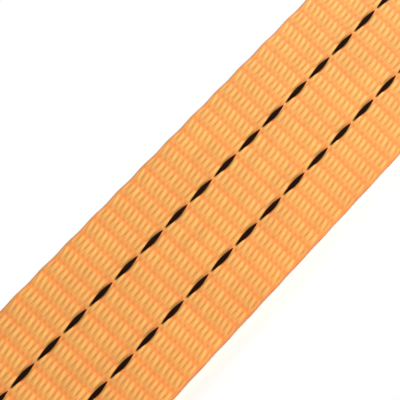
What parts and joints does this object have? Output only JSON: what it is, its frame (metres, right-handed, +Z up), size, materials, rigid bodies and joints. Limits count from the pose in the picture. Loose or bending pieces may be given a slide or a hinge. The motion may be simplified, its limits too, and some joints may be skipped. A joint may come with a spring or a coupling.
{
  "type": "round sling",
  "caption": "Endless loop lifting sling of flat woven webbing with two tracer lines, a stitched lap joint and a sewn-in identification label.",
  "frame": {"origin": "on the floor under the middle of the sling's outline, which stands on one edge of the webbing", "axes": "+X along the straight legs, +Y towards the lapped leg, +Z up across the webbing's width"},
  "size_m": [0.4618, 0.0848, 0.05],
  "materials": {
    "webbing": "woven high tenacity polyester, orange, slight sheen",
    "tracer_yarn": "woven polyester yarn, black",
    "sewing_thread": "bonded polyester thread, black",
    "label_tape": "close woven polyester tape, blue",
    "label_panel": null,
    "label_thread": "polyester thread, white"
  },
  "bodies": {
    "sling": {"lap_inner_layer": "webbing", "back_leg_left": "webbing", "left_bight": "webbing", "front_leg": "webbing", "right_bight": "webbing", "back_leg_right": "webbing", "lap_outer_layer": "webbing", "tracer_outer_lower": "tracer_yarn", "tracer_outer_upper": "tracer_yarn", "tracer_inner_lower": "tracer_yarn", "tracer_inner_upper": "tracer_yarn", "needle_thread_row_1": "sewing_thread", "bobbin_thread_row_1": "sewing_thread", "needle_thread_row_2": "sewing_thread", "bobbin_thread_row_2": "sewing_thread", "needle_thread_row_3": "sewing_thread", "bobbin_thread_row_3": "sewing_thread", "needle_thread_row_4": "sewing_thread", "bobbin_thread_row_4": "sewing_thread", "needle_thread_row_5": "sewing_thread", "bobbin_thread_row_5": "sewing_thread", "needle_thread_row_6": "sewing_thread", "bobbin_thread_row_6": "sewing_thread", "cross_row_left_needle": "sewing_thread", "cross_row_left_bobbin": "sewing_thread", "cross_row_right_needle": "sewing_thread", "cross_row_right_bobbin": "sewing_thread", "label_root": "label_tape"},
    "label": {"label_flap": "label_tape", "label_print_panel": "label_panel", "label_panel_stitching": "label_thread"}
  },
  "joints": [
    {"name": "label_fold", "type": "hinge", "parent": "sling", "child": "label", "pos_m": [-0.08415, 0.03955, 0.025], "axis": [0, 0, -1], "range_deg": [0, 120]}
  ]
}
